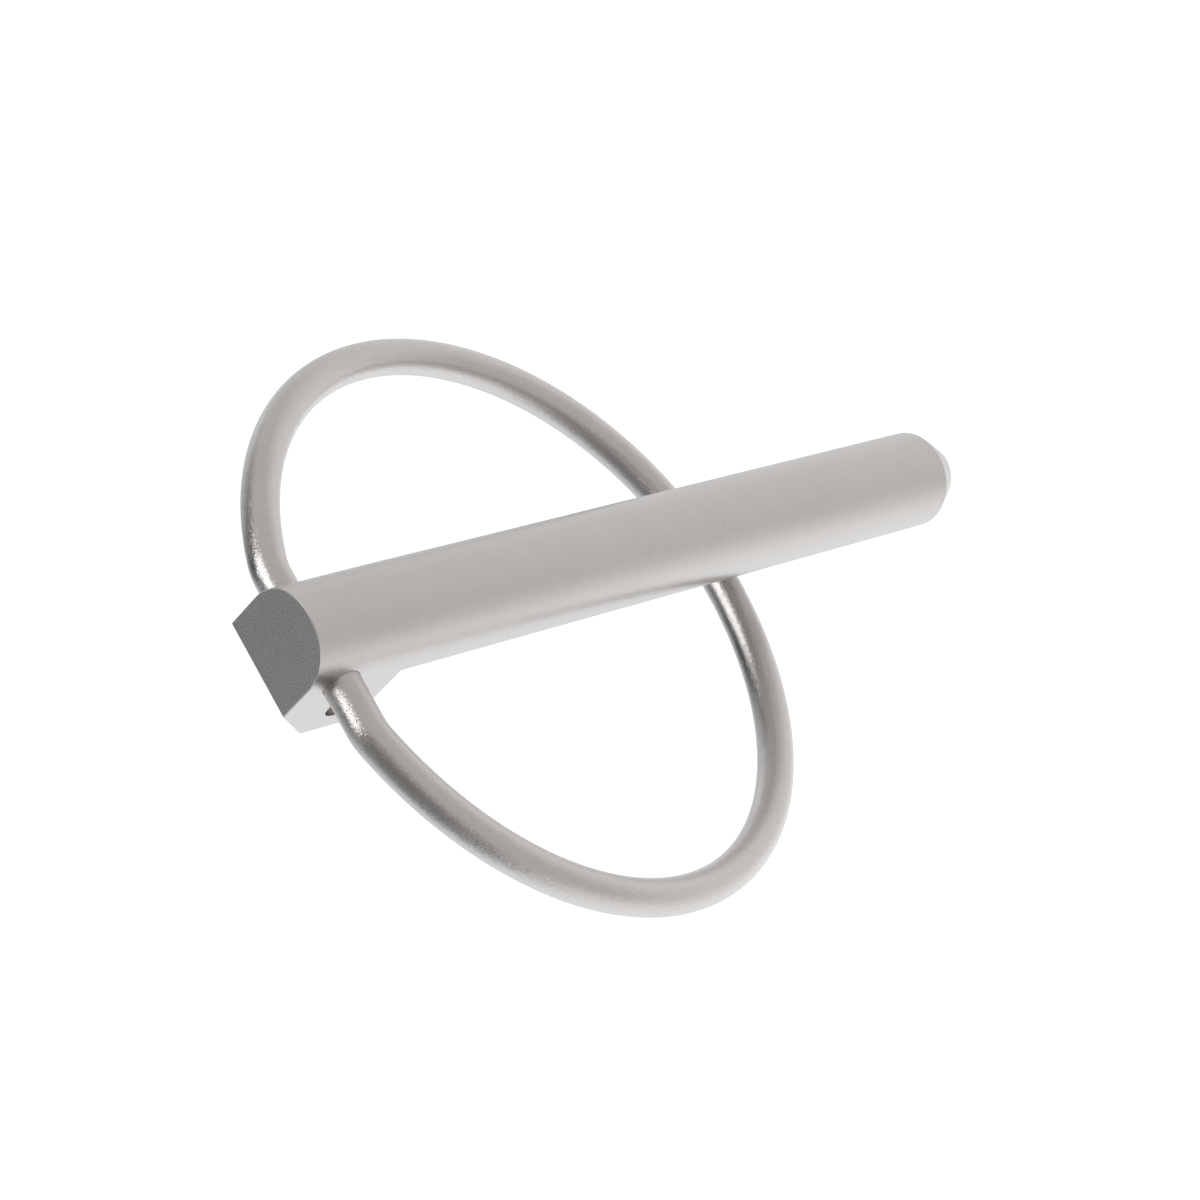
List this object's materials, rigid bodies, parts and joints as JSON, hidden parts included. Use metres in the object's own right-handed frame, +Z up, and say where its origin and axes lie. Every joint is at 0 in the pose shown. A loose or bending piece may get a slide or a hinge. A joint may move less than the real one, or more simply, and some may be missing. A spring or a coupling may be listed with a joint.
{
  "type": "quick release pin",
  "caption": "Linch pin: a round steel pin with a lugged head and a sprung wire ring that swings over and snaps shut around the part it secures.",
  "frame": {"origin": "on the axis of the shank, in the plane of the shoulder that the head stops against", "axes": "+X along the shank to the tip, +Z up and away from the lug, +Y across the head along the ring's holes"},
  "size_m": [0.0547, 0.0397, 0.0108],
  "materials": {
    "satin_steel": "satin, fine turning marks",
    "spring_wire": "drawn spring wire, semi-bright"
  },
  "bodies": {
    "pin": {"pin": "satin_steel"},
    "ring": {"ring": "spring_wire"}
  },
  "joints": [
    {"name": "ring_swing", "type": "hinge", "parent": "pin", "child": "ring", "pos_m": [-0.00343, 0, -0.00175], "axis": [0, 1, 0], "range_deg": [-3.5, 180], "deforming": ["ring"]}
  ]
}
